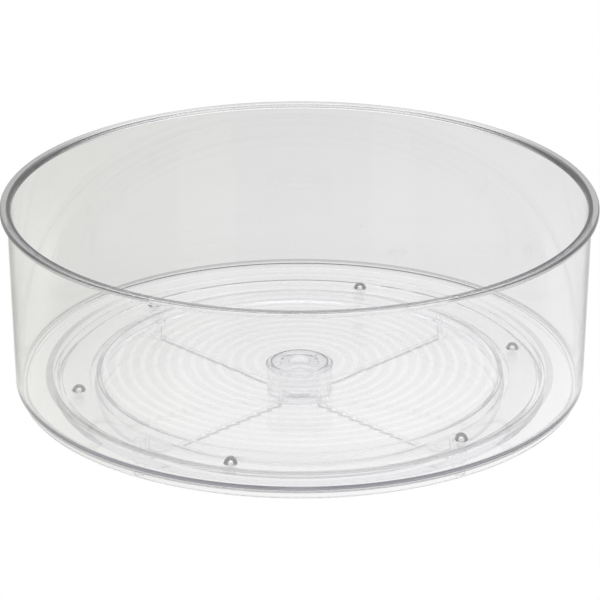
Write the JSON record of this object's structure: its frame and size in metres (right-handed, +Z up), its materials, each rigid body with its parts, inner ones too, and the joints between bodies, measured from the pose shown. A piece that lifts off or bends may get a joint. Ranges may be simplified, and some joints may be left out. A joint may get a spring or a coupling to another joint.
{
  "type": "turntable organiser bin",
  "caption": "Clear round organiser bin with a tall wall and rim lip that turns on steel balls over a small clear base with feet.",
  "frame": {"origin": "on the turning axis, in the plane of the feet's undersides", "axes": "+Z up along the turning axis; -Y is the side the object is usually seen from; the first foot is at 45 degrees between +X and +Y"},
  "size_m": [0.28, 0.28, 0.1061],
  "materials": {
    "bin_plastic": "clear, polished",
    "base_plastic": "clear, polished",
    "cage_plastic": "clear, polished",
    "plug_plastic": "clear, polished",
    "clip_plastic": "clear, polished",
    "ball_steel": "polished",
    "foot_plastic": "soft, clear"
  },
  "bodies": {
    "base": {"base": "base_plastic", "pivot_plug": "plug_plastic", "pivot_clip": "clip_plastic", "foot_1": "foot_plastic", "foot_2": "foot_plastic", "foot_3": "foot_plastic", "foot_4": "foot_plastic"},
    "bin": {"bin": "bin_plastic"},
    "ball_cage": {"ball_cage": "cage_plastic"},
    "ball_1": {"ball_1": "ball_steel"},
    "ball_2": {"ball_2": "ball_steel"},
    "ball_3": {"ball_3": "ball_steel"},
    "ball_4": {"ball_4": "ball_steel"},
    "ball_5": {"ball_5": "ball_steel"},
    "ball_6": {"ball_6": "ball_steel"}
  },
  "joints": [
    {"name": "bin_spin", "type": "hinge", "parent": "base", "child": "bin", "pos_m": [0, 0, 0.0202], "axis": [0, 0, 1], "continuous": true},
    {"name": "cage_orbit", "type": "hinge", "parent": "base", "child": "ball_cage", "pos_m": [0, 0, 0.0169], "axis": [0, 0, 1], "continuous": true},
    {"name": "ball_1_spin", "type": "hinge", "parent": "ball_cage", "child": "ball_1", "pos_m": [0.10394, 0.02457, 0.0169], "axis": [0.9732, 0.23, 0], "continuous": true},
    {"name": "ball_2_spin", "type": "hinge", "parent": "ball_cage", "child": "ball_2", "pos_m": [0.03069, 0.10229, 0.0169], "axis": [0.2874, 0.9578, 0], "continuous": true},
    {"name": "ball_3_spin", "type": "hinge", "parent": "ball_cage", "child": "ball_3", "pos_m": [-0.07325, 0.07773, 0.0169], "axis": [-0.6858, 0.7278, 0], "continuous": true},
    {"name": "ball_4_spin", "type": "hinge", "parent": "ball_cage", "child": "ball_4", "pos_m": [-0.10394, -0.02457, 0.0169], "axis": [-0.9732, -0.23, 0], "continuous": true},
    {"name": "ball_5_spin", "type": "hinge", "parent": "ball_cage", "child": "ball_5", "pos_m": [-0.03069, -0.10229, 0.0169], "axis": [-0.2874, -0.9578, 0], "continuous": true},
    {"name": "ball_6_spin", "type": "hinge", "parent": "ball_cage", "child": "ball_6", "pos_m": [0.07325, -0.07773, 0.0169], "axis": [0.6858, -0.7278, 0], "continuous": true}
  ],
  "couplings": [
    {"joint": "cage_orbit", "follows": "bin_spin", "ratio": 0.5},
    {"joint": "ball_1_spin", "follows": "bin_spin", "ratio": -17.8},
    {"joint": "ball_2_spin", "follows": "bin_spin", "ratio": -17.8},
    {"joint": "ball_3_spin", "follows": "bin_spin", "ratio": -17.8},
    {"joint": "ball_4_spin", "follows": "bin_spin", "ratio": -17.8},
    {"joint": "ball_5_spin", "follows": "bin_spin", "ratio": -17.8},
    {"joint": "ball_6_spin", "follows": "bin_spin", "ratio": -17.8}
  ]
}
